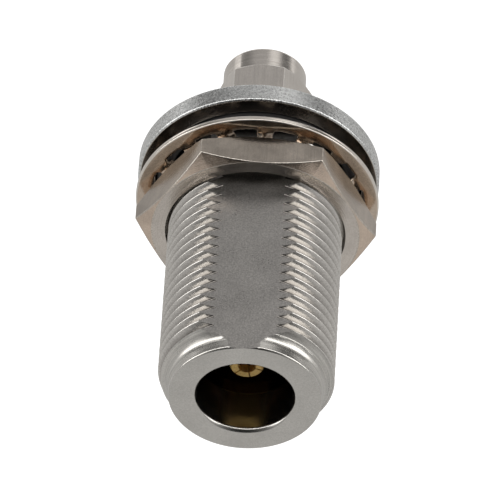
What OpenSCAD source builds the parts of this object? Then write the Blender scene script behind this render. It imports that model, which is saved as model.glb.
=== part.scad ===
// Bulkhead coaxial adapter: a threaded N-type jack with a flange, panel nut,
// toothed lock washer and flange seal, and an SMA-type plug with a free
// coupling nut on its rear.
//
// Every piece is drawn about the connector's own axis: +Z points out of the
// jack's mouth and z = 0 is the flange's seating face. on_axis() then lays
// that line along -Y, so the key flat of the barrel faces up.

/* [Barrel] */
// Major diameter of the barrel's thread, 5/8-24 UNEF
thread_d = 15.875; // [15.6:0.005:16]
// Threads to the inch
threads_per_inch = 24; // [20:1:32]
// Length from the flange's seating face to the mouth's face
barrel_len = 26.35; // [24:0.05:30]
// Height of the key flat above the axis
flat_h = 6.75; // [6.6:0.05:7.4]
// Diameter of the plain nose in front of the thread
nose_d = 13.8; // [13.6:0.05:14.2]
// Length of the plain nose
nose_len = 1.3; // [0.8:0.1:2]
// Chamfer on the outer edge of the mouth's face
nose_edge = 0.15; // [0.1:0.05:0.4]

/* [Jack interior] */
// Diameter of the bore at the mouth
mouth_d = 8.76; // [8.6:0.02:9]
// Chamfer round the mouth
mouth_edge = 0.44; // [0.1:0.02:0.5]
// Depth of the wide stretch of the bore
mouth_depth = 4.45; // [4:0.05:5]
// Diameter where the mating plug's outer contact seats
seat_d = 8.1; // [8:0.05:8.4]
// Depth of the reference plane below the mouth's face
reference_depth = 9.1; // [8.8:0.05:9.4]
// Diameter of the air line behind the reference plane
line_d = 7; // [6.8:0.1:7.2]

/* [Flange] */
// Diameter of the flange
flange_d = 22.1; // [21:0.1:24]
// Thickness of the flange
flange_t = 2; // [1.8:0.1:3]
// Chamfer on the flange's two edges
flange_edge = 0.15; // [0.05:0.05:0.4]
// Diameter of the short boss behind the flange
boss_d = 10; // [9.4:0.1:12]
// Length of the boss
boss_len = 0.8; // [0.4:0.1:1.2]

/* [Flange seal] */
// Thickness of the seal ring's round section
seal_section = 1.34; // [1.2:0.02:1.4]
// Depth of its groove in the flange
seal_groove = 1.04; // [1:0.02:1.1]

/* [Panel nut] */
// Size across the nut's flats
nut_af = 19.05; // [18.5:0.05:20]
// Thickness of the nut
nut_t = 3.18; // [2.5:0.02:4]
// Distance from the flange to the nut's rear face
nut_gap = 3.15; // [3.15:0.05:6]
// Turn of the nut about the axis, in degrees
nut_turn = -4.2; // [-30:0.1:30]
// Diameter where the flat face meets the corner chamfer
nut_face_d = 18.9; // [18:0.1:19]
// Slope of the corner chamfers, in degrees
nut_chamfer = 27; // [20:1:35]

/* [Lock washer] */
// Outside diameter of the washer
washer_d = 22.2; // [21:0.1:23]
// Inside diameter of its plain ring
washer_ring_d = 19.6; // [19.2:0.1:19.8]
// Thickness of the sheet it is pressed from
washer_t = 0.5; // [0.4:0.05:0.6]
// Number of inner teeth
tooth_count = 16; // [12:1:18]
// Diameter of the circle through the tips of the teeth
tooth_tip_d = 16.2; // [16.1:0.05:16.6]
// Width of a tooth
tooth_w = 2; // [1.4:0.1:2]
// Twist of a tooth out of the ring's plane, in degrees
tooth_twist = 38; // [20:1:38]
// Direction of the first tooth round the axis, in degrees
tooth_start = 17.1; // [0:0.1:22.5]

/* [Contacts] */
// Diameter of the jack's socket contact
socket_d = 3.04; // [3:0.01:3.08]
// Diameter of the hole in the socket contact
socket_hole_d = 1.6; // [1.5:0.02:1.68]
// Depth of the hole
socket_hole_depth = 6; // [5.5:0.1:7]
// Depth of the contact's tip below the mouth's face
socket_depth = 3.85; // [3.6:0.05:4.2]
// Number of slots in the contact
slot_count = 6; // [4:1:6]
// Width of a slot
slot_w = 0.12; // [0.08:0.02:0.3]
// Length of the slots
slot_len = 5; // [3:0.1:5.4]
// Direction of the first slot round the axis, in degrees
slot_start = 41; // [0:1:60]
// Diameter of the plug's pin
pin_d = 0.92; // [0.9:0.01:0.94]
// Length of the pin beyond the plug's reference plane
pin_len = 2.3; // [2:0.05:2.5]

/* [Plug] */
// Diameter of the plug body where the coupling nut turns on it
neck_d = 5.4; // [5.3:0.05:5.5]
// Outside diameter of the thin outer contact
ferrule_d = 4.58; // [4.54:0.01:4.59]
// Diameter of the plug's dielectric
dielectric_d = 4.1; // [4.06:0.01:4.14]
// Length of the outer contact in front of the body's shoulder
ferrule_len = 2.1; // [1.9:0.05:2.3]

/* [Coupling nut] */
// Size across the coupling nut's flats
coupling_af = 8; // [7.9:0.05:8.4]
// Length of its hexagon
coupling_hex_len = 6.2; // [5:0.1:6.5]
// Diameter of its round sleeve
sleeve_d = 7.66; // [7.5:0.02:7.8]
// Length of its round sleeve
sleeve_len = 2.35; // [1.5:0.05:2.6]
// Distance from the flange's seating face to the hexagon's near end
coupling_start = 5; // [4.6:0.1:6]
// Turn of the hexagon about the axis, in degrees
coupling_turn = 4.3; // [0:0.1:60]
// Slope of the hexagon's corner chamfers, in degrees
coupling_chamfer = 36; // [25:1:45]

/* [Hidden] */

$fn = 96;
cut = 0.01;       // overshoot of a cutting solid past the face it opens
running = 0.04;   // radial clearance of a turning piece

thread_r = thread_d / 2;
nose_r = nose_d / 2;
nose_back = barrel_len - nose_len;
thread_front = nose_back - (thread_r - nose_r);

pitch = 25.4 / threads_per_inch;                 // thread: 60 degree flanks between flat crests and roots
crest_w = pitch / 8;
thread_depth = 0.6134 * pitch;
flank_w = thread_depth * tan(30);
root_r = thread_r - thread_depth;
thread_top = thread_front - 0.05;
thread_turns = floor((thread_top - 1) / pitch);

seat_lead = 1;                                   // length of the cone down to the seat
mouth_r = mouth_d / 2;
seat_r = seat_d / 2;
line_r = line_d / 2;
seat_front = barrel_len - mouth_depth - seat_lead;
reference_z = barrel_len - reference_depth;

flange_r = flange_d / 2;
flange_back = -flange_t;
boss_back = flange_back - boss_len;
boss_edge = 0.2;

seal_in_r = thread_r + running;
seal_mid_r = seal_in_r + seal_section / 2;
groove_r = seal_in_r + seal_section + 0.13;      // the groove leaves room for the ring to spread

press_r = 3.9;                                   // the plug body's pressed length, and the bead behind it
bead_front = 12.6;
bead_back = 8.6;
stem_r = 1.06;                                   // socket contact's stem through the bead
wire_r = 0.635;                                  // centre conductor through the dielectric
wire_front = 12;
socket_tip = barrel_len - socket_depth;
socket_edge = 0.12;

coupling_back = -coupling_start;
hex_end = coupling_back - coupling_hex_len;
coupling_end = hex_end - sleeve_len;
tip_recess = 3;                                  // plug's reference plane inside the coupling nut's end
plug_ref = coupling_end + tip_recess;
shoulder_z = plug_ref + ferrule_len;
neck_r = neck_d / 2;
ferrule_r = ferrule_d / 2;
dielectric_r = dielectric_d / 2;
pin_r = pin_d / 2;
pin_tip = plug_ref - pin_len;

ring_t = 0.5;                                    // retaining ring: thickness, and its play in the body's groove
ring_play = 0.22;
ring_mid = coupling_back - 1.9;
ring_in_r = 2.3;
ring_out_r = 3.05;
ring_gap = 0.7;
body_groove_r = 2.2;
coupling_groove_r = ring_out_r + 0.07;
groove_slack = 0.02;

gasket_t = 0.8;
gasket_out_r = 3;
relief_r = 3.2;
relief_end = shoulder_z - gasket_t - 0.2;
coupling_minor_r = 2.83;
opening_edge = 0.3;

nut_bore_r = thread_r + running;
nut_sink = 0.3;
nut_sink_r = nut_bore_r + 0.25;

washer_mid = nut_gap - 0.85;                     // the twisted teeth reach almost to the nut
washer_r = washer_d / 2;
washer_ring_r = washer_ring_d / 2;
tooth_tip_r = tooth_tip_d / 2;
tooth_bend_r = 9.4;                              // a tooth is flat outside this radius and twisted inside it
tooth_root = 0.2;                                // how far a tooth runs into the ring

nickel = [0.66, 0.65, 0.62];
warm_nickel = [0.70, 0.66, 0.60];
gold = [0.86, 0.66, 0.30];
ptfe = [0.93, 0.93, 0.90];

// Lays the connector's axis along -Y, with its flat side up.
module on_axis() {
    rotate([90, 0, 0]) children();
}

// A turned solid from its half-section, a list of [radius, z].
module turned(section) {
    rotate_extrude() polygon(section);
}

// A tube between two radii and two heights.
module tube(inner, outer, low, high) {
    turned([[inner, low], [outer, low], [outer, high], [inner, high]]);
}

// A hexagonal prism with the turned corner chamfers of a nut, on one or both
// ends. face_r is the radius where a chamfer meets the end face.
module hex_prism(af, low, high, turn, face_r, slope, low_chamfer) {
    corner_r = af / sqrt(3);
    reach_r = corner_r + 1;
    drop = (reach_r - face_r) * tan(slope);
    low_drop = low_chamfer ? drop : 0;
    low_r = low_chamfer ? face_r : reach_r;
    intersection() {
        rotate([0, 0, turn])
            translate([0, 0, low]) cylinder(h = high - low, r = corner_r, $fn = 6);
        turned([
            [0, low], [low_r, low], [reach_r, low + low_drop],
            [reach_r, high - drop], [face_r, high], [0, high]
        ]);
    }
}

// Half-section of one turn of the thread's groove, from its upper edge down.
function groove(top) = [
    [thread_r, top], [root_r, top - flank_w],
    [root_r, top - pitch + crest_w + flank_w], [thread_r, top - pitch + crest_w]
];

// One-piece turned shell: barrel, flange and rear boss, bored right through,
// with the key flat milled along the barrel.
module shell() {
    color(nickel) on_axis() difference() {
        turned([
            [mouth_r + mouth_edge, barrel_len],
            [nose_r - nose_edge, barrel_len],
            [nose_r, barrel_len - nose_edge],
            [nose_r, nose_back],
            [thread_r, thread_front],
            for (i = [0 : thread_turns - 1]) each groove(thread_top - i * pitch),
            [thread_r, -seal_groove],
            [groove_r, -seal_groove],
            [groove_r, 0],
            [flange_r - flange_edge, 0],
            [flange_r, -flange_edge],
            [flange_r, flange_back + flange_edge],
            [flange_r - flange_edge, flange_back],
            [boss_d / 2, flange_back],
            [boss_d / 2, boss_back + boss_edge],
            [boss_d / 2 - boss_edge, boss_back],
            [press_r, boss_back],
            [press_r, bead_front],
            [line_r, bead_front],
            [line_r, reference_z],
            [seat_r, reference_z],
            [seat_r, seat_front],
            [mouth_r, seat_front + seat_lead],
            [mouth_r, barrel_len - mouth_edge]
        ]);
        translate([-thread_r, flat_h, 0])
            cube([thread_d, thread_r, barrel_len + cut]);
    }
}

// Rubber ring in the flange's face groove, standing a little proud of it.
module flange_seal() {
    color([0.08, 0.08, 0.08]) on_axis()
        translate([0, 0, seal_section / 2 - seal_groove])
            rotate_extrude() translate([seal_mid_r, 0]) circle(d = seal_section, $fn = 48);
}

// Gilt socket contact: a drilled and slotted tube on a stem.
module socket_contact() {
    color(gold) on_axis() difference() {
        turned([
            [0, bead_back], [stem_r, bead_back], [stem_r, bead_front],
            [socket_d / 2, bead_front], [socket_d / 2, socket_tip - socket_edge],
            [socket_d / 2 - socket_edge, socket_tip], [0, socket_tip]
        ]);
        translate([0, 0, socket_tip - socket_hole_depth])
            cylinder(h = socket_hole_depth + cut, d = socket_hole_d);
        translate([0, 0, bead_back - cut])
            cylinder(h = wire_front - bead_back + cut, r = wire_r);
        for (i = [0 : slot_count - 1])
            rotate([0, 0, slot_start + i * 360 / slot_count])
                translate([socket_hole_d / 4, -slot_w / 2, socket_tip - slot_len])
                    cube([socket_d, slot_w, slot_len + cut]);
    }
}

// White insulating bead that centres the socket contact in the shell.
module contact_bead() {
    color(ptfe) on_axis() tube(stem_r, press_r, bead_back, bead_front);
}

// Body of the plug: pressed into the shell behind the bead, with the neck that
// the coupling nut turns on, the ring's groove and the thin outer contact.
module plug_body() {
    groove_half = ring_t / 2 + ring_play;
    color(warm_nickel) on_axis() turned([
        [dielectric_r, bead_back],
        [press_r, bead_back],
        [press_r, boss_back],
        [neck_r, boss_back],
        [neck_r, ring_mid + groove_half],
        [body_groove_r, ring_mid + groove_half],
        [body_groove_r, ring_mid - groove_half],
        [neck_r, ring_mid - groove_half],
        [neck_r, shoulder_z],
        [ferrule_r, shoulder_z],
        [ferrule_r, plug_ref],
        [dielectric_r, plug_ref]
    ]);
}

// White dielectric that fills the plug body flush to its end.
module plug_dielectric() {
    color(ptfe) on_axis() tube(wire_r, dielectric_r, plug_ref, bead_back);
}

// Centre conductor of the plug: plugged into the socket contact's stem in
// front, turned down to the mating pin at the rear.
module plug_pin() {
    point = 0.25;
    color(gold) on_axis() turned([
        [0, wire_front], [wire_r, wire_front], [wire_r, plug_ref],
        [pin_r, plug_ref], [pin_r, pin_tip + point],
        [pin_r - 0.6 * point, pin_tip], [0, pin_tip]
    ]);
}

// Flat silicone gasket round the outer contact, against the body's shoulder.
module plug_gasket() {
    color([0.62, 0.22, 0.12]) on_axis()
        tube(ferrule_r, gasket_out_r, shoulder_z - gasket_t, shoulder_z);
}

// One tooth of the lock washer: a short flat neck at the ring, then a blade
// twisted about the radial line.
module washer_tooth() {
    intersection() {
        tube(tooth_tip_r, tooth_bend_r, -tooth_w, tooth_w);
        rotate([tooth_twist, 0, 0])
            translate([tooth_tip_r - 1, -tooth_w / 2, -washer_t / 2])
                cube([washer_ring_r - tooth_tip_r + 2, tooth_w, washer_t]);
    }
    intersection() {
        tube(tooth_bend_r - tooth_root, washer_ring_r + tooth_root, -washer_t / 2, washer_t / 2);
        translate([tooth_tip_r, -tooth_w / 2, -washer_t / 2])
            cube([washer_ring_r - tooth_tip_r + 2, tooth_w, washer_t]);
    }
}

// Internal-tooth lock washer, between the flange and the panel nut.
module lock_washer() {
    color(warm_nickel) on_axis() translate([0, 0, washer_mid]) {
        tube(washer_ring_r, washer_r, -washer_t / 2, washer_t / 2);
        for (i = [0 : tooth_count - 1])
            rotate([0, 0, tooth_start + i * 360 / tooth_count]) washer_tooth();
    }
}

// Hexagonal panel nut, chamfered on both faces and countersunk at both ends.
module panel_nut() {
    nut_front = nut_gap + nut_t;
    color(warm_nickel) on_axis() difference() {
        hex_prism(nut_af, nut_gap, nut_front, nut_turn, nut_face_d / 2, nut_chamfer, true);
        turned([
            [0, nut_gap - cut], [nut_sink_r, nut_gap - cut],
            [nut_sink_r, nut_gap], [nut_bore_r, nut_gap + nut_sink],
            [nut_bore_r, nut_front - nut_sink], [nut_sink_r, nut_front],
            [nut_sink_r, nut_front + cut], [0, nut_front + cut]
        ]);
    }
}

// Split spring ring that holds the coupling nut on the plug body.
module retaining_ring() {
    color(warm_nickel) on_axis() difference() {
        tube(ring_in_r, ring_out_r, ring_mid - ring_t / 2, ring_mid + ring_t / 2);
        translate([0, -ring_gap / 2, ring_mid - ring_t])
            cube([2 * ring_out_r, ring_gap, 2 * ring_t]);
    }
}

// Coupling nut of the plug: a hexagon that runs into a round sleeve, bored for
// the neck, the ring, the gasket and the mating thread.
module coupling_nut() {
    sleeve_edge = 0.2;
    sleeve_r = sleeve_d / 2;
    ring_half = ring_t / 2 + groove_slack;
    color(nickel) on_axis() difference() {
        union() {
            mirror([0, 0, 1])
                hex_prism(coupling_af, coupling_start, -hex_end, -coupling_turn,
                          coupling_af / 2, coupling_chamfer, true);
            turned([
                [0, hex_end + 0.5], [sleeve_r, hex_end + 0.5],
                [sleeve_r, coupling_end + sleeve_edge],
                [sleeve_r - sleeve_edge, coupling_end], [0, coupling_end]
            ]);
        }
        turned([
            [0, coupling_back + cut],
            [neck_r + 2 * running, coupling_back + cut],
            [neck_r + 2 * running, ring_mid + ring_half],
            [coupling_groove_r, ring_mid + ring_half],
            [coupling_groove_r, ring_mid - ring_half],
            [relief_r, ring_mid - ring_half],
            [relief_r, relief_end],
            [coupling_minor_r, relief_end],
            [coupling_minor_r, coupling_end + opening_edge],
            [coupling_minor_r + opening_edge, coupling_end],
            [coupling_minor_r + opening_edge, coupling_end - cut],
            [0, coupling_end - cut]
        ]);
    }
}

shell();
flange_seal();
socket_contact();
contact_bead();
plug_body();
plug_dielectric();
plug_pin();
plug_gasket();
lock_washer();
panel_nut();
retaining_ring();
coupling_nut();
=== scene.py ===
"""Look of the bulkhead coaxial adapter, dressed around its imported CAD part.

Shapes are worked out in millimetres about the connector's own axis, with z = 0
on the flange's seating face and +z out of the jack's mouth. placed() turns
them into the frame: metres, axis along -Y, key flat up.
"""

from math import acos, atan2, ceil, cos, degrees, hypot, pi, radians, sin, tan

import bmesh
import bpy
import numpy as np
from mathutils import Matrix, Vector


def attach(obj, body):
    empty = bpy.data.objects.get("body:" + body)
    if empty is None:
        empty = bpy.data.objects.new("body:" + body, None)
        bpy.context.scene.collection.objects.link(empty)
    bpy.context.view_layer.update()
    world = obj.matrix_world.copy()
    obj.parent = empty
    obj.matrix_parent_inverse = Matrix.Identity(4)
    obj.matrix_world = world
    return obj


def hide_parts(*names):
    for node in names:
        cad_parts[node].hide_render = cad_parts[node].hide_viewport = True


MM = 0.001

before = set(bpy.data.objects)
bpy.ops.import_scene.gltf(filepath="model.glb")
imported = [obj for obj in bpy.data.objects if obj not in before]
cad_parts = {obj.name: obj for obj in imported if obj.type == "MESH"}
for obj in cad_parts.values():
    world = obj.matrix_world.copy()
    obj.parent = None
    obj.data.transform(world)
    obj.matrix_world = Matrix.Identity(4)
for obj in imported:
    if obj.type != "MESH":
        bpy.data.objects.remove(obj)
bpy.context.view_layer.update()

# ---------------------------------------------------------------- dimensions
PITCH = 25.4 / 24                 # 5/8-24 thread of the barrel
CREST_R = 7.9375
ROOT_R = 7.288
THREAD_PHASE = 6.67               # height of one groove's middle above the key flat
# Half the thread's outline: places from a groove's middle, in pitches, and the share of the
# thread's height there
THREAD_OFF = (0, 0.045, 0.085, 0.125, 0.27, 0.41, 0.43, 0.455, 0.48, 0.5)
THREAD_RISE = (0, 0.015, 0.06, 0.12, 0.524, 0.915, 0.956, 0.983, 0.997, 1)
NOSE_R = 6.9
NOSE_BACK = 25.05
NECK_BLEND = 0.36                 # reach of the hollow behind the nose band, up the cone
BAND_BLEND = 0.55                 # and along the band
BORE_R = 4.38
MIDDLE_BORE_R = 4.05
BEAD_SEAT_R = 3.5
REAR_BORE_R = 3.9
MOUTH_Z = 26.35
MOUTH_ROUND = 0.48
FLAT_H = 6.75
RUN_OUT = (0.6, 1.5)              # where the thread fades in behind the nut
THREAD_FRONT = NOSE_BACK + NOSE_R - CREST_R
FLANGE_R = 11.05

COUPLING_PITCH = 25.4 / 36        # 1/4-36 thread of the coupling nut
COUPLING_MINOR_R = 2.83
COUPLING_MAJOR_R = 3.2
COUPLING_AF = 8
COUPLING_TURN = 4.3
COUPLING_SLOPE = 36
COUPLING_FACE_R = 3.97
SLEEVE_R = 3.83
HEX_START = -5
HEX_END = -11.2                   # where the coupling nut's hexagon gives way to its sleeve
COUPLING_END = -13.55

NUT_AF = 19.05
NUT_LOW = 3.15
NUT_HIGH = 6.33
NUT_TURN = -4.2
NUT_FACE_R = 9.45
NUT_SLOPE = 27

WASHER_MID = 2.3
WASHER_T = 0.5
WASHER_R = 11.1
WASHER_RING_R = 9.8
TOOTH_TIP_R = 8.1
TOOTH_COUNT = 16
TOOTH_START = 17.1
TOOTH_W = 1.6
TOOTH_TWIST = 42
TOOTH_BEND_R = 9.45
TOOTH_BEND = 0.45                 # length over which a tooth takes up its twist
WASHER_EDGE = 0.1                 # depth of the rounding on the teeth
RIM_EDGE = 0.13                   # and on the rim


# ------------------------------------------------------------- mesh building
def placed(points):
    """Points in mm about the axis, as the frame has them."""
    p = np.asarray(points, float).reshape(-1, 3) * MM
    return np.column_stack([p[:, 0], -p[:, 2], p[:, 1]])


def fillet(path, radius, steps=3, closed=False):
    """The path of (r, z) points with its corners rounded, by one reach or by one for each.

    The number of points doesn't depend on the reach.
    """
    out = []
    count = len(path)
    radii = np.broadcast_to(radius, count)
    for i, corner in enumerate(path):
        if not closed and i in (0, count - 1):
            out.append(corner)
            continue
        here = np.array(corner, float)
        before = np.array(path[i - 1], float) - here
        after = np.array(path[(i + 1) % count], float) - here
        reach = min(radii[i], 0.45 * np.linalg.norm(before), 0.45 * np.linalg.norm(after))
        a = here + before / np.linalg.norm(before) * reach
        b = here + after / np.linalg.norm(after) * reach
        for s in np.linspace(0, 1, steps + 1):
            out.append(tuple((1 - s) ** 2 * a + 2 * s * (1 - s) * here + s ** 2 * b))
    return out


def strip(angles, radii, heights, wrap=0):
    """Points and faces of a skin round the axis, from radii and heights in mm as [row][column].

    wrap is the number of rows by which the skin climbs in one turn.
    """
    rows, columns = radii.shape
    points = np.stack([radii * np.cos(angles), radii * np.sin(angles), heights], axis=-1).reshape(-1, 3)
    faces = []
    for j in range(columns):
        nxt = (j + 1) % columns
        climb = wrap if nxt == 0 else 0
        for k in range(rows - 1):
            far = min(k + climb, rows - 1)
            far_up = min(k + 1 + climb, rows - 1)
            faces.append((
                k * columns + j, far * columns + nxt, far_up * columns + nxt, (k + 1) * columns + j
            ))
    return points, faces


def lathe(angles, path):
    """A turned skin through a path of (r, z) points."""
    path = np.array(path)
    ones = np.ones(len(angles))
    return strip(angles, np.outer(path[:, 0], ones), np.outer(path[:, 1], ones))


def helical(angles, low, high, pitch, radius_at):
    """A threaded skin between two heights.

    Its mesh lines follow the helix, closer at the crests, and its ends are flat rings.
    """
    one_turn = np.array(THREAD_OFF + tuple(1 - off for off in THREAD_OFF[-2:0:-1]))
    steps = len(one_turn)
    turns = ceil((high - low) / pitch) + 3
    climb = pitch * angles / (2 * pi)
    first = np.floor((low - THREAD_PHASE) / pitch) * pitch + THREAD_PHASE - 1.25 * pitch
    rows = (np.arange(turns)[:, None] + one_turn).reshape(-1)
    heights = first + pitch * rows[:, None] + climb[None, :]
    heights = np.clip(heights, low, high)
    radii = radius_at(angles[None, :], heights)
    return strip(angles, radii, heights, wrap=steps)


def joined(parts):
    """One bmesh from several skins, welded where they meet."""
    bm = bmesh.new()
    for points, faces in parts:
        made = [bm.verts.new(p) for p in placed(points)]
        for face in faces:
            corners = [made[i] for i in dict.fromkeys(face)]
            if len(corners) > 2:
                bm.faces.new(corners)
    bmesh.ops.remove_doubles(bm, verts=bm.verts, dist=2e-7)
    bmesh.ops.dissolve_degenerate(bm, edges=bm.edges, dist=1e-7)
    bmesh.ops.recalc_face_normals(bm, faces=bm.faces)
    return bm


def finished(name, bm, body, materials, rule=None, sharp=32, replaces=()):
    """Turns a bmesh into an object of the scene that rides on a CAD body.

    rule gives a face's material from its centre in mm and its normal, both as (x, y, z) about the axis.
    """
    mesh = bpy.data.meshes.new(name)
    if rule:
        for face in bm.faces:
            c = face.calc_center_median() / MM
            n = face.normal
            face.material_index = rule((c.x, c.z, -c.y), (n.x, n.z, -n.y))
    for face in bm.faces:
        face.smooth = True
    bm.to_mesh(mesh)
    bm.free()
    mesh.set_sharp_from_angle(angle=radians(sharp))
    for m in materials:
        mesh.materials.append(m)
    obj = bpy.data.objects.new(name, mesh)
    bpy.context.scene.collection.objects.link(obj)
    weighted = obj.modifiers.new("even_shading", "WEIGHTED_NORMAL")
    weighted.keep_sharp = True
    weighted.weight = 100
    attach(obj, body)
    if replaces:
        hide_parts(*replaces)
    return obj


def v_thread(angle, z, pitch, phase, root, crest):
    """Radius of a right-hand 60 degree thread, with a groove's middle at height phase above the key flat."""
    turns = (z - phase) / pitch - (angle - pi / 2) / (2 * pi)
    off = np.abs(turns - np.round(turns))
    return root + (crest - root) * np.interp(off, THREAD_OFF, THREAD_RISE)


def smooth(x):
    x = np.clip(x, 0, 1)
    return x * x * (3 - 2 * x)


# --------------------------------------------------------------- materials
RING_DRIFT = 0.0002               # how far a turning ring's noise drifts in a radian, in metres
LINE_STRETCH = 0.03               # squeeze along the axis that turns a noise into drawn lines
BUMP_DEPTH = 1e-5                 # metres
ROOT_SHADE_COLOUR = (0.06, 0.045, 0.035)    # colour of the painted shade in the thread's roots
PIT_COLOUR = (0.01, 0.01, 0.01)
PIT_CORE = 0.05                   # mm
PIT_RIM = 0.1


def add(tree, kind, inputs=(), out=0, **settings):
    """A new shader node; inputs are (socket, value or output) pairs. Returns one of its outputs."""
    made = tree.nodes.new("ShaderNode" + kind)
    for key, value in settings.items():
        setattr(made, key, value)
    for key, value in inputs:
        if isinstance(value, bpy.types.NodeSocket):
            tree.links.new(value, made.inputs[key])
        else:
            made.inputs[key].default_value = value
    return made.outputs[out]


def math(tree, operation, a, b=0.0):
    return add(tree, "Math", [(0, a), (1, b)], operation=operation)


def ranged(tree, value, low, high, to_low, to_high):
    return add(tree, "MapRange", [(0, value), (1, low), (2, high), (3, to_low), (4, to_high)])


def blended(tree, factor, one, two):
    return add(tree, "MixRGB", [(0, factor), (1, (*one, 1)), (2, (*two, 1))])


def shaded(tone, by):
    return tuple(min(1, c * by) for c in tone)


def radius_of(tree, place):
    """Distance from the connector's axis."""
    across = add(tree, "VectorMath", [(0, place), (1, (1, 0, 1))], operation="MULTIPLY")
    return add(tree, "VectorMath", [(0, across)], out=1, operation="LENGTH")


def turned_coordinates(tree, place):
    """Coordinates in which a noise becomes rings about the axis."""
    x, y, z = (add(tree, "SeparateXYZ", [(0, place)], out=i) for i in range(3))
    angle = math(tree, "ARCTAN2", z, x)
    drift = math(tree, "MULTIPLY", angle, RING_DRIFT)
    return add(tree, "CombineXYZ", [(0, radius_of(tree, place)), (1, y), (2, drift)])


def along_axis(tree, place):
    """Coordinates in which a noise becomes fine lines drawn along the axis."""
    return add(tree, "VectorMath", [(0, place), (1, (1, LINE_STRETCH, 1))], operation="MULTIPLY")


def noise(tree, place, size_mm, **more):
    """A fine noise whose features are about this many mm across."""
    inputs = [("Vector", place), ("Scale", 1000 / size_mm), ("Detail", 2)]
    inputs += [(key.capitalize(), value) for key, value in more.items()]
    return add(tree, "TexNoise", inputs)


def metal(name, tone, rough, grain=0.0, grain_mm=0.12, rings=0.0, rings_mm=0.1, drawn=0.0, drawn_mm=0.1,
          speckle=0.06, streaks=0.0, vary=0.06, root_shade=None, pit=None):
    """A plated metal with stains, speckle and streaks in its tone, and uneven gloss.

    Its bump is of grain, of turning rings or of drawn lines. root_shade is painted shade in the roots:
    (radius where it is darkest, radius where it ends, its share); pit is the place of a tiny hole, in mm.
    """
    material = bpy.data.materials.new(name)
    material.use_nodes = True
    tree = material.node_tree
    shader = tree.nodes["Principled BSDF"]
    place = add(tree, "TexCoord", out=3)
    stains = add(tree, "TexNoise", [
        ("Vector", place), ("Scale", 260), ("Detail", 3), ("Roughness", 0.6)
    ])
    fine = noise(tree, place, grain_mm, roughness=0.6)
    ring = noise(tree, turned_coordinates(tree, place), rings_mm)
    line = noise(tree, along_axis(tree, place), drawn_mm)
    streak = line if drawn else ring
    stained = ranged(tree, stains, 0.3, 0.7, 0, 1)
    colour = blended(tree, stained, shaded(tone, 1 - vary), shaded(tone, 1 + vary))
    speckled = ranged(tree, fine, 0.3, 0.7, 1 - speckle, 1 + speckle)
    streaked = ranged(tree, streak, 0.3, 0.7, -streaks, streaks)
    light = math(tree, "ADD", speckled, streaked)
    colour = add(tree, "VectorMath", [(0, colour), (3, light)], operation="SCALE")
    # painted shade: the tone darkens towards the thread's roots, where shade falls in the grooves
    if root_shade:
        low, high, share = root_shade
        root_shade_share = ranged(tree, radius_of(tree, place), low * MM, high * MM, share, 0.0)
        colour = add(tree, "MixRGB", [(0, root_shade_share), (1, colour), (2, (*ROOT_SHADE_COLOUR, 1))])
    if pit:
        centre = tuple(placed(pit)[0])
        off = add(tree, "VectorMath", [(0, place), (1, centre)], out=1, operation="DISTANCE")
        hole = ranged(tree, off, PIT_CORE * MM, PIT_RIM * MM, 0.95, 0.0)
        colour = add(tree, "MixRGB", [(0, hole), (1, colour), (2, (*PIT_COLOUR, 1))])
    tree.links.new(colour, shader.inputs["Base Color"])
    shader.inputs["Metallic"].default_value = 1
    broad = ranged(tree, stains, 0.3, 0.7, rough * 0.85, rough * 1.15)
    gloss = math(tree, "ADD", broad, ranged(tree, fine, 0.3, 0.7, -0.03, 0.03))
    tree.links.new(gloss, shader.inputs["Roughness"])
    grained = math(tree, "MULTIPLY", fine, grain)
    height = math(tree, "ADD", grained, math(tree, "MULTIPLY", ring, rings))
    height = math(tree, "ADD", height, math(tree, "MULTIPLY", line, drawn))
    bump = add(tree, "Bump", [("Strength", 1), ("Distance", BUMP_DEPTH), ("Height", height)])
    tree.links.new(bump, shader.inputs["Normal"])
    return material


def plastic(name, tone, rough, clear=0.0, grain=0.15):
    """A solid insulator or rubber with a faint mould texture."""
    material = bpy.data.materials.new(name)
    material.use_nodes = True
    tree = material.node_tree
    shader = tree.nodes["Principled BSDF"]
    place = add(tree, "TexCoord", out=3)
    stains = add(tree, "TexNoise", [("Vector", place), ("Scale", 400), ("Detail", 3)])
    fine = add(tree, "TexNoise", [("Vector", place), ("Scale", 9000), ("Detail", 2)])
    colour = blended(tree, ranged(tree, stains, 0.3, 0.7, 0, 1), shaded(tone, 0.93), shaded(tone, 1.03))
    tree.links.new(colour, shader.inputs["Base Color"])
    tree.links.new(ranged(tree, stains, 0.3, 0.7, rough - 0.04, rough + 0.04), shader.inputs["Roughness"])
    shader.inputs["Subsurface Weight"].default_value = clear
    shader.inputs["Subsurface Radius"].default_value = (0.0006, 0.0005, 0.0004)
    bump = add(tree, "Bump", [("Strength", grain), ("Distance", BUMP_DEPTH), ("Height", fine)])
    tree.links.new(bump, shader.inputs["Normal"])
    return material


NICKEL = (0.62, 0.605, 0.575)

PIT = (6.554, 3.784, 24.382)      # a tiny hole in the plating of the cone, in mm about the axis
shell_metal = metal("shell_nickel", NICKEL, 0.2, grain=0.3, speckle=0.08)
nose_metal = metal(
    "shell_nose", NICKEL, 0.31, grain=0.4, rings=0.7, rings_mm=0.16, speckle=0.12, streaks=0.18, pit=PIT
)
# painted shade in the thread's roots, darkest at 7.3 mm from the axis
thread_metal = metal(
    "shell_thread", (0.7, 0.68, 0.65), 0.17, grain=0.5, grain_mm=0.16, speckle=0.16,
    root_shade=(7.3, 7.88, 0.7)
)
# painted shade: the key flat is the shell's nickel, given a darker tone for the darkness it shows
flat_shaded_metal = metal(
    "shell_flat_painted_shade", (0.42, 0.405, 0.39), 0.32, grain=1.2, grain_mm=0.14, drawn=0.3, speckle=0.24
)
rim_metal = metal("flange_rim", (0.66, 0.67, 0.67), 0.28, grain=3.2, grain_mm=0.2, speckle=0.3)
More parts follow.
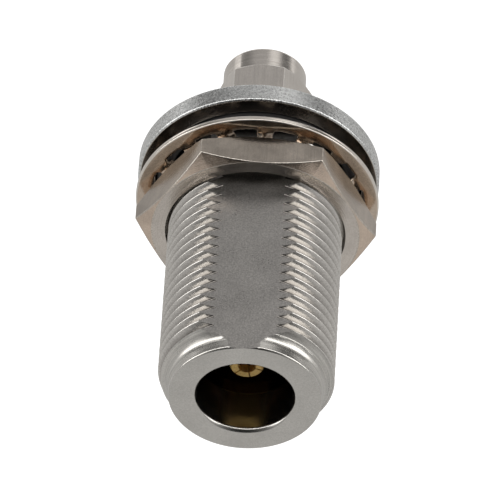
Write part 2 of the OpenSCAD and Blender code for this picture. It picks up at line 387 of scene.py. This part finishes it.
# painted shade and reflection: the seating face is the flange's nickel, made near black for the washer's
# dark underside mirrored in it
seat_shaded_metal = metal("flange_seat_painted_shade", (0.16, 0.15, 0.14), 0.25, rings=0.2)
# painted shade: the bore is nickel, made dark for the shade inside it, with a brown tint as a painted
# reflection of the gold contact
bore_shaded_metal = metal("shell_bore_painted_shade", (0.16, 0.11, 0.08), 0.16)
# painted shade: the nut's flats are darker than its face and chamfers, though all are one plating
nut_flat_shaded = metal(
    "nut_flat_shaded", (0.46, 0.41, 0.36), 0.2, grain=0.4, drawn=0.35, drawn_mm=0.14, speckle=0.08,
    streaks=0.05, vary=0.25
)
nut_face = metal(
    "nut_face", (0.66, 0.61, 0.56), 0.2, grain=0.4, rings=0.4, speckle=0.1, streaks=0.05, vary=0.12
)
nut_chamfer = metal(
    "nut_chamfer", (0.7, 0.58, 0.48), 0.2, grain=0.4, rings=0.3, speckle=0.1, streaks=0.05, vary=0.15
)
# painted highlight: the nut's rounded edges take a lighter tone than its flats
nut_edge_highlight = metal("nut_edge_highlight", (0.62, 0.57, 0.51), 0.2, grain=0.5, speckle=0.3)
coupling_flat = metal(
    "coupling_flat", (0.68, 0.64, 0.6), 0.2, grain=0.4, drawn=0.4, drawn_mm=0.14, speckle=0.08, streaks=0.06
)
coupling_turned = metal(
    "coupling_turned", (0.68, 0.64, 0.6), 0.22, grain=0.3, rings=0.7, rings_mm=0.14, streaks=0.1
)
# painted highlight: the hexagon's rounded edges take a lighter, glossier tone than its flats
coupling_edge_highlight = metal("coupling_edge_highlight", (0.8, 0.77, 0.73), 0.16, grain=0.3, speckle=0.15)
washer_metal = metal("washer_bronze", (0.62, 0.525, 0.435), 0.18, grain=0.25, grain_mm=0.2, speckle=0.08)
# painted highlight: the rim takes a lighter, paler tone than the washer's sheet
washer_rim_highlight = metal("washer_rim_highlight", (0.8, 0.75, 0.69), 0.18, grain=0.3, speckle=0.1)
plug_metal = metal("plug_nickel", (0.64, 0.61, 0.56), 0.2, rings=0.3)
ring_metal = metal("ring_bronze", (0.6, 0.5, 0.38), 0.26, grain=0.3)
gold = metal("gilt", (1.0, 0.7, 0.3), 0.6, grain=0.6, speckle=0.15)
ptfe = plastic("ptfe", (0.83, 0.82, 0.78), 0.45, clear=0.3)
rubber = plastic("seal_rubber", (0.02, 0.02, 0.021), 0.55)
silicone = plastic("gasket_silicone", (0.42, 0.09, 0.04), 0.5, clear=0.1)


# ------------------------------------------------------------------- shell
ROUND = 144                       # columns round a turned piece


def evenly(count):
    return np.arange(count) * 2 * pi / count


def barrel_radius(angle, z):
    """The thread, faded out behind the nut and cut by the cone in front."""
    radius = v_thread(angle, z, PITCH, THREAD_PHASE, ROOT_R, CREST_R)
    fade = smooth((z - RUN_OUT[0]) / (RUN_OUT[1] - RUN_OUT[0]))
    radius = CREST_R + (radius - CREST_R) * fade
    return np.minimum(radius, NOSE_R + NOSE_BACK - z)


def build_shell():
    angles = evenly(ROUND)
    back = -1.5
    front = NOSE_BACK - NECK_BLEND
    inner = fillet([
        (REAR_BORE_R, back), (REAR_BORE_R, 12.6), (BEAD_SEAT_R, 12.6), (BEAD_SEAT_R, 17.25),
        (MIDDLE_BORE_R, 17.25), (MIDDLE_BORE_R, 20.9), (BORE_R, 21.9),
        (BORE_R, MOUTH_Z - MOUTH_ROUND)
    ], 0.1)
    for a in np.linspace(0, pi / 2, 9):
        inner.append((BORE_R + MOUTH_ROUND * (1 - cos(a)), MOUTH_Z - MOUTH_ROUND * (1 - sin(a))))
    inner += fillet([
        (6.2, MOUTH_Z), (NOSE_R - 0.15, MOUTH_Z), (NOSE_R, MOUTH_Z - 0.15), (NOSE_R, MOUTH_Z - 0.5)
    ], 0.1, steps=4)
    for s in np.linspace(0, 1, 7):
        along = BAND_BLEND * (1 - s) ** 2 - NECK_BLEND * s ** 2
        inner.append((NOSE_R + NECK_BLEND * s ** 2, NOSE_BACK + along))
    barrel = joined([
        lathe(angles, inner),
        helical(angles, back, front, PITCH, barrel_radius),
        lathe(angles, [(CREST_R, back), (REAR_BORE_R, back)]),
    ])
    geometry = barrel.verts[:] + barrel.edges[:] + barrel.faces[:]
    cut = bmesh.ops.bisect_plane(
        barrel, geom=geometry, dist=1e-9, plane_co=(0, 0, FLAT_H * MM), plane_no=(0, 0, 1), clear_outer=True
    )
    edges = [e for e in cut["geom_cut"] if isinstance(e, bmesh.types.BMEdge) and e.is_boundary]
    bmesh.ops.triangle_fill(barrel, use_beauty=True, use_dissolve=False, edges=edges, normal=(0, 0, 1))
    bmesh.ops.recalc_face_normals(barrel, faces=barrel.faces)

    def barrel_rule(c, n):
        radius = hypot(c[0], c[1])
        # the key flat, in its darker painted-shade finish
        if n[1] > 0.999 and c[1] > FLAT_H - 0.001:
            return 2
        # the bore, in its dark painted-shade finish
        if radius < 4.36:
            return 3
        if 0 < c[2] < THREAD_FRONT and radius > ROOT_R - 0.1:
            return 1
        if THREAD_FRONT < c[2] and radius > NOSE_R - 0.02:
            return 4
        return 0

    finished(
        "shell_barrel", barrel, "connector", [shell_metal, thread_metal, flat_shaded_metal, bore_shaded_metal, nose_metal],
        barrel_rule, replaces=["shell"]
    )
    path = fillet([
        (REAR_BORE_R, -2.8), (REAR_BORE_R, back), (6, back), (6, -1.04), (9.4475, -1.04), (9.4475, 0),
        (FLANGE_R - 0.15, 0), (FLANGE_R, -0.15), (FLANGE_R, -1.85), (FLANGE_R - 0.15, -2),
        (5, -2), (5, -2.6), (4.8, -2.8)
    ], 0.095, steps=4, closed=True)
    path.append(path[0])
    flange = joined([lathe(evenly(192), path)])

    def flange_rule(c, n):
        # faces toward the mouth take the seat's painted shade
        if n[2] > 0.999:
            return 2
        return 1 if hypot(c[0], c[1]) > FLANGE_R - 0.14 else 0

    finished(
        "shell_flange", flange, "connector", [shell_metal, rim_metal, seat_shaded_metal], flange_rule,
        replaces=["shell"]
    )


# -------------------------------------------------------------------- nuts
def hexagon(af, turn, corner, per_side=14):
    """Angles and radii round a hexagon with rounded corners."""
    points = []
    half = af / 2
    tip = corner / cos(pi / 6)
    for side in range(6):
        middle = radians(90 + turn + 60 * side)
        reach = half * tan(pi / 6) - corner * tan(pi / 6)
        for s in np.linspace(-reach, reach, per_side):
            points.append((half * cos(middle) - s * sin(middle), half * sin(middle) + s * cos(middle)))
        centre_r = af / 2 / cos(pi / 6) - tip
        corner_angle = middle + pi / 6
        for bend in np.linspace(-pi / 6, pi / 6, 5)[1:-1]:
            points.append((
                centre_r * cos(corner_angle) + corner * cos(corner_angle + bend),
                centre_r * sin(corner_angle) + corner * sin(corner_angle + bend)
            ))
    p = np.array(points)
    angle = np.arctan2(p[:, 1], p[:, 0]) % (2 * pi)
    order = np.argsort(angle)
    return angle[order], np.hypot(p[:, 0], p[:, 1])[order]


def columns_skin(angles, paths):
    """A skin through one (r, z) path for each column."""
    grid = np.array(paths)
    return strip(angles, grid[:, :, 0].T, grid[:, :, 1].T)


def nut_rule(turn, slope, bore_r):
    """Which finish a nut's face takes: 0 flats, 1 end faces, 2 chamfers, 3 rounded edges painted lighter as
    highlights, 4 the bore.
    """
    def rule(c, n):
        if hypot(c[0], c[1]) < bore_r:
            return 4
        tilt = degrees(acos(min(1, abs(n[2]))))
        around = (degrees(atan2(n[1], n[0])) - 90 - turn + 30) % 60 - 30
        if tilt > 88:
            return 0 if abs(around) < 2 else 3
        if tilt < 2:
            return 1
        return 2 if abs(tilt - slope) < 2 else 3

    return rule


def nut_bore(angle, z):
    """The nut's thread, which fills the barrel's groove but for a little play, and its countersinks."""
    radius = np.clip(v_thread(angle, z, PITCH, THREAD_PHASE, ROOT_R, CREST_R) + 0.045, 7.36, 7.98)
    depth = np.minimum(z - NUT_LOW, NUT_HIGH - z)
    return np.maximum(radius, 8.23 - depth)


def build_panel_nut():
    angles, outline = hexagon(NUT_AF, NUT_TURN, 0.1)
    slope = tan(radians(NUT_SLOPE))
    paths = []
    for reach in outline:
        drop = (reach - NUT_FACE_R) * slope
        paths.append(fillet([
            (8.23, NUT_HIGH), (NUT_FACE_R, NUT_HIGH), (reach, NUT_HIGH - drop),
            (reach, NUT_LOW + drop), (NUT_FACE_R, NUT_LOW), (8.23, NUT_LOW)
        ], (0, 0.06, 0.09, 0.09, 0.06, 0), steps=4))
    nut = joined([columns_skin(angles, paths), helical(angles, NUT_LOW, NUT_HIGH, PITCH, nut_bore)])
    rule = nut_rule(NUT_TURN, NUT_SLOPE, 8.3)
    finished(
        "panel_nut_body", nut, "nut", [nut_flat_shaded, nut_face, nut_chamfer, nut_edge_highlight, shell_metal], rule,
        replaces=["panel_nut"]
    )


def coupling_bore(angle, z):
    radius = v_thread(angle, z, COUPLING_PITCH, THREAD_PHASE, COUPLING_MINOR_R, COUPLING_MAJOR_R)
    fade = smooth((-9.8 - z) / 0.5)
    radius = COUPLING_MAJOR_R + (radius - COUPLING_MAJOR_R) * fade
    return np.maximum(radius, COUPLING_MINOR_R + COUPLING_END + 0.3 - z)


def coupling_rule(as_nut):
    """The coupling nut's finish: 0 hexagon flats, 1 whatever is turned, 2 the hexagon's rounded edges,
    painted lighter as a highlight.
    """
    def rule(c, n):
        if c[2] < HEX_END - 0.12:
            return 1
        return (0, 1, 1, 2, 1)[as_nut(c, n)]

    return rule


def build_coupling_nut():
    angles, outline = hexagon(COUPLING_AF, COUPLING_TURN, 0.1, per_side=12)
    slope = tan(radians(COUPLING_SLOPE))
    paths = []
    for reach in outline:
        drop = (reach - COUPLING_FACE_R) * slope
        paths.append(fillet([
            (COUPLING_MAJOR_R, -9.45), (COUPLING_MAJOR_R, -7.17), (3.12, -7.17), (3.12, -6.63),
            (2.78, -6.63), (2.78, HEX_START), (COUPLING_FACE_R, HEX_START),
            (reach, HEX_START - drop), (reach, HEX_END + drop), (COUPLING_FACE_R, HEX_END),
            (SLEEVE_R, HEX_END), (SLEEVE_R, COUPLING_END + 0.2), (SLEEVE_R - 0.2, COUPLING_END),
            (COUPLING_MINOR_R + 0.3, COUPLING_END)
        ], 0.11, steps=4))
    nut = joined([
        columns_skin(angles, paths),
        helical(angles, COUPLING_END, -9.45, COUPLING_PITCH, coupling_bore),
    ])
    rule = coupling_rule(nut_rule(COUPLING_TURN, COUPLING_SLOPE, 3.3))
    finished(
        "coupling_nut_body", nut, "coupling", [coupling_flat, coupling_turned, coupling_edge_highlight], rule,
        replaces=["coupling_nut"]
    )


# ------------------------------------------------------------------ washer
def half_tooth():
    """Inner outline from the middle of a tooth's tip to the middle of the gap beside it.

    Returns (along, across) points in mm, and the angle at which each point's column meets the rim.
    """
    half = TOOTH_W / 2
    corner = 0.25
    root = 0.25
    points = [(TOOTH_TIP_R, s) for s in np.linspace(0, half - corner, 4)]
    for a in np.linspace(0, pi / 2, 5)[1:]:
        points.append((TOOTH_TIP_R + corner - corner * cos(a), half - corner + corner * sin(a)))
    foot = WASHER_RING_R - root - 0.07
    points += [(s, half) for s in np.linspace(TOOTH_TIP_R + corner, foot, 9)[1:]]
    flank_end = len(points)
    for a in np.linspace(0, pi / 2, 5)[1:]:
        points.append((foot + root * sin(a), half + root - root * cos(a)))
    gap = pi / TOOTH_COUNT
    start = atan2(points[-1][1], points[-1][0])
    for angle in np.linspace(start, gap, 5)[1:]:
        points.append((WASHER_RING_R * cos(angle), WASHER_RING_R * sin(angle)))
    tooth_edge = atan2(half, WASHER_RING_R)
    rim = np.concatenate([
        np.linspace(0, tooth_edge, flank_end),
        np.linspace(tooth_edge, gap, len(points) - flank_end + 1)[1:]
    ])
    return np.array(points), rim


def ring_outline():
    """Inner outline of the whole washer and the point of its rim that each column runs to."""
    inner, rim = half_tooth()
    left = inner[1:-1][::-1] * (1, -1)
    tooth = np.concatenate([left, inner])
    tooth_rim = np.concatenate([-rim[1:-1][::-1], rim])
    starts, ends = [], []
    for i in range(TOOTH_COUNT):
        turn = radians(TOOTH_START + i * 360 / TOOTH_COUNT)
        spin = np.array([[cos(turn), sin(turn)], [-sin(turn), cos(turn)]])
        starts.append(tooth @ spin)
        ends.append(WASHER_R * np.column_stack([np.cos(tooth_rim + turn), np.sin(tooth_rim + turn)]))
    return np.concatenate(starts), np.concatenate(ends)


def twisted(points, lift):
    """The washer's points lifted off its middle plane, its teeth turned about their radial lines."""
    angle = np.arctan2(points[:, 1], points[:, 0]) - radians(TOOTH_START)
    step = 2 * pi / TOOTH_COUNT
    middle = np.round(angle / step) * step + radians(TOOTH_START)
    along = points[:, 0] * np.cos(middle) + points[:, 1] * np.sin(middle)
    across = points[:, 1] * np.cos(middle) - points[:, 0] * np.sin(middle)
    twist = radians(TOOTH_TWIST) * smooth((TOOTH_BEND_R - along) / TOOTH_BEND)
    u = across * np.cos(twist) - lift * np.sin(twist)
    height = across * np.sin(twist) + lift * np.cos(twist)
    return np.column_stack([
        along * np.cos(middle) - u * np.sin(middle),
        along * np.sin(middle) + u * np.cos(middle),
        WASHER_MID + height
    ])


def build_washer():
    """Sheet with rounded edges.

    Each column runs round it, from the inner edge over the top to the rim and back below.
    """
    inner, outer = ring_outline()
    tangent = np.roll(inner, -1, axis=0) - np.roll(inner, 1, axis=0)
    inward = np.column_stack([-tangent[:, 1], tangent[:, 0]])
    inward /= np.linalg.norm(inward, axis=1)[:, None]
    outward = outer / WASHER_R
    half = WASHER_T / 2
    bend = radians(90) * np.linspace(-1, 1, 9)
    rings = []
    for a in bend:
        edge = inner - inward * WASHER_EDGE * (1 - cos(a))
        rings.append(twisted(edge, half * sin(a) * np.ones(len(inner))))
    top_in = inner - inward * WASHER_EDGE
    top_out = outer - outward * RIM_EDGE
    reach = np.linalg.norm(top_in, axis=1)
    levels = np.concatenate([
        np.arange(8.5, TOOTH_BEND_R + 0.1, 0.1), [9.75, 10.2, WASHER_R - RIM_EDGE]
    ])
    sheet = []
    for level in levels:
        share = np.clip((level - reach) / (WASHER_R - RIM_EDGE - reach), 0, 1)[:, None]
        sheet.append(top_in + (top_out - top_in) * share)
    rings += [twisted(p, half * np.ones(len(p))) for p in sheet]
    for a in bend[::-1][1:-1]:
        lift = half * np.sign(a) * abs(sin(a)) ** 0.5
        rings.append(twisted(top_out + outward * RIM_EDGE * cos(a) ** 0.5, lift * np.ones(len(outer))))
    rings += [twisted(p, -half * np.ones(len(p))) for p in sheet[::-1]]
    columns = len(inner)
    count = len(rings)
    faces = []
    for k in range(count):
        for j in range(columns):
            n, up = (j + 1) % columns, (k + 1) % count
            faces.append((k * columns + j, k * columns + n, up * columns + n, up * columns + j))
    washer = joined([(np.concatenate(rings), faces)])

    def washer_rule(c, n):
        # the rim takes the lighter painted-highlight finish
        return 1 if hypot(c[0], c[1]) > WASHER_R - RIM_EDGE else 0

    finished(
        "lock_washer_body", washer, "washer", [washer_metal, washer_rim_highlight], washer_rule,
        replaces=["lock_washer"], sharp=60
    )


build_shell()
build_panel_nut()
build_coupling_nut()
build_washer()

for node, material in {
    "flange_seal": rubber, "socket_contact": gold, "contact_bead": ptfe, "plug_body": plug_metal,
    "plug_dielectric": ptfe, "plug_pin": gold, "plug_gasket": silicone, "retaining_ring": ring_metal
}.items():
    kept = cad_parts[node]
    kept.data.materials.clear()
    kept.data.materials.append(material)
    kept.data.polygons.foreach_set("use_smooth", [True] * len(kept.data.polygons))
    kept.data.set_sharp_from_angle(angle=radians(32))


# ------------------------------------------------------- floor, light, camera
FLOOR_Z = -0.045                  # metres
FLOOR_HALF = 1.5
FLOOR_SEEN = 0.95                 # brightness of the floor to the camera
FLOOR_MIRRORED = 0.28             # and in the metal


def build_floor():
    mesh = bpy.data.meshes.new("floor")
    bm = bmesh.new()
    bmesh.ops.create_grid(bm, x_segments=1, y_segments=1, size=FLOOR_HALF)
    bmesh.ops.translate(bm, verts=bm.verts, vec=(0, 0, FLOOR_Z))
    bm.to_mesh(mesh)
    bm.free()
    floor = bpy.data.objects.new("floor", mesh)
    bpy.context.scene.collection.objects.link(floor)
    material = bpy.data.materials.new("pale_floor")
    material.use_nodes = True
    tree = material.node_tree
    tree.nodes.clear()
    path = tree.nodes.new("ShaderNodeLightPath")
    matte = add(tree, "BsdfDiffuse", [("Color", (0.3, 0.3, 0.3, 1))])
    seen = add(tree, "Emission", [("Color", (1, 1, 1, 1)), ("Strength", FLOOR_SEEN)])
    mirrored = add(tree, "Emission", [("Color", (1, 0.985, 0.96, 1)), ("Strength", FLOOR_MIRRORED)])
    camera_part = math(tree, "MAXIMUM", path.outputs["Is Camera Ray"], path.outputs["Is Transmission Ray"])
    glow = add(tree, "MixShader", [(0, path.outputs["Is Glossy Ray"]), (1, seen), (2, mirrored)])
    visible = math(tree, "MAXIMUM", camera_part, path.outputs["Is Glossy Ray"])
    nothing = add(tree, "Emission", [("Strength", 0.0)])
    chosen = add(tree, "MixShader", [(0, visible), (1, nothing), (2, glow)])
    both = add(tree, "AddShader", [(0, matte), (1, chosen)])
    output = tree.nodes.new("ShaderNodeOutputMaterial")
    tree.links.new(both, output.inputs[0])
    mesh.materials.append(material)


# Soft cards of light: azimuth from the front and elevation, reach of their full part and of all of them
# in degrees, and strength
HAZE = 0.12
BRIGHT_CARDS = (
    (-133, 12, 4, 24, 0.15), (153, 41, 3, 16, 0.5), (178, 42, 14, 42, 0.32),
    (-73, 22, 5, 17, 1.3), (73, 22, 5, 17, 1.3), (-52, 8, 8, 26, 0.25), (52, 8, 8, 26, 0.25),
)
DARK_CARDS = ((3.6, 44, 14, 30, 0.8), (0, 8, 6, 24, 0.75))


def build_world():
    """A soft studio all round: pale haze, an arch of light over the sides, cards low down and behind.

    Two directions in front are darker: halfway up, where the camera stands, and low down.
    """
    world = bpy.data.worlds.new("studio")
    bpy.context.scene.world = world
    world.use_nodes = True
    tree = world.node_tree
    tree.nodes.clear()
    direction = add(tree, "TexCoord", out=0)

    def toward(azimuth, elevation):
        a, e = radians(azimuth), radians(elevation)
        return (sin(a) * cos(e), -cos(a) * cos(e), sin(e))

    def card(azimuth, elevation, inner, outer, strength):
        """Light from a soft round card: full within inner degrees, gone at outer."""
        inputs = [(0, direction), (1, toward(azimuth, elevation))]
        facing = add(tree, "VectorMath", inputs, out=1, operation="DOT_PRODUCT")
        return add(tree, "MapRange", [
            (0, facing), (1, cos(radians(outer))), (2, cos(radians(inner))), (3, 0.0), (4, strength)
        ], interpolation_type="SMOOTHSTEP")

    y, z = (add(tree, "SeparateXYZ", [(0, direction)], out=i) for i in (1, 2))

    def lit(value, dark, bright, strength):
        """Light that grows from none to full as a component of the direction goes from dark to bright."""
        return add(tree, "MapRange", [
            (0, value), (1, dark), (2, bright), (3, 0.0), (4, strength)
        ], interpolation_type="SMOOTHSTEP")

    above = lit(z, -0.1, 0.06, 1.0)
    arch = math(tree, "MULTIPLY", lit(math(tree, "ABSOLUTE", y), 0.28, 0.02, 3.2), above)
    low_back = math(tree, "MULTIPLY", lit(z, 0.24, 0.02, 1.7), lit(y, 0.5, 0.85, 1.0))
    total = math(tree, "ADD", math(tree, "ADD", arch, low_back), HAZE)
    for bright_card in BRIGHT_CARDS:
        total = math(tree, "ADD", total, card(*bright_card))
    for dark_card in DARK_CARDS:
        total = math(tree, "MULTIPLY", total, math(tree, "SUBTRACT", 1.0, card(*dark_card)))
    path = tree.nodes.new("ShaderNodeLightPath")
    light = add(tree, "Background", [("Color", (1, 0.985, 0.965, 1)), ("Strength", total)])
    white = add(tree, "Background", [("Color", (1, 1, 1, 1)), ("Strength", 1.0)])
    chosen = add(tree, "MixShader", [(0, path.outputs["Is Camera Ray"]), (1, light), (2, white)])
    output = tree.nodes.new("ShaderNodeOutputWorld")
    tree.links.new(chosen, output.inputs[0])


CAMERA_ANGLES = (3.617, 47.524, 1.27)     # azimuth, elevation and roll, in degrees
CAMERA_DISTANCE = 717.76
CAMERA_TARGET = (-0.618, -4.565, -4.136)
CAMERA_LENS = 564.54


def build_camera():
    azimuth, elevation, roll = (radians(a) for a in CAMERA_ANGLES)
    distance = CAMERA_DISTANCE * MM
    target = Vector(CAMERA_TARGET) * MM
    toward = Vector((sin(azimuth) * cos(elevation), -cos(azimuth) * cos(elevation), sin(elevation)))
    right = Vector((0, 0, 1)).cross(toward).normalized()
    up = toward.cross(right)
    camera = bpy.data.objects.new("camera", bpy.data.cameras.new("camera"))
    bpy.context.scene.collection.objects.link(camera)
    bpy.context.scene.camera = camera
    turned_up = up * cos(roll) + right * sin(roll)
    turned_right = right * cos(roll) - up * sin(roll)
    place = target + toward * distance
    camera.matrix_world = Matrix((
        (turned_right.x, turned_up.x, toward.x, place.x),
        (turned_right.y, turned_up.y, toward.y, place.y),
        (turned_right.z, turned_up.z, toward.z, place.z),
        (0, 0, 0, 1)
    ))
    camera.data.sensor_width = 36
    camera.data.lens = CAMERA_LENS
    camera.data.clip_start = 0.01
    camera.data.clip_end = 20


build_floor()
build_world()
build_camera()
bpy.context.scene.view_settings.view_transform = "Standard"
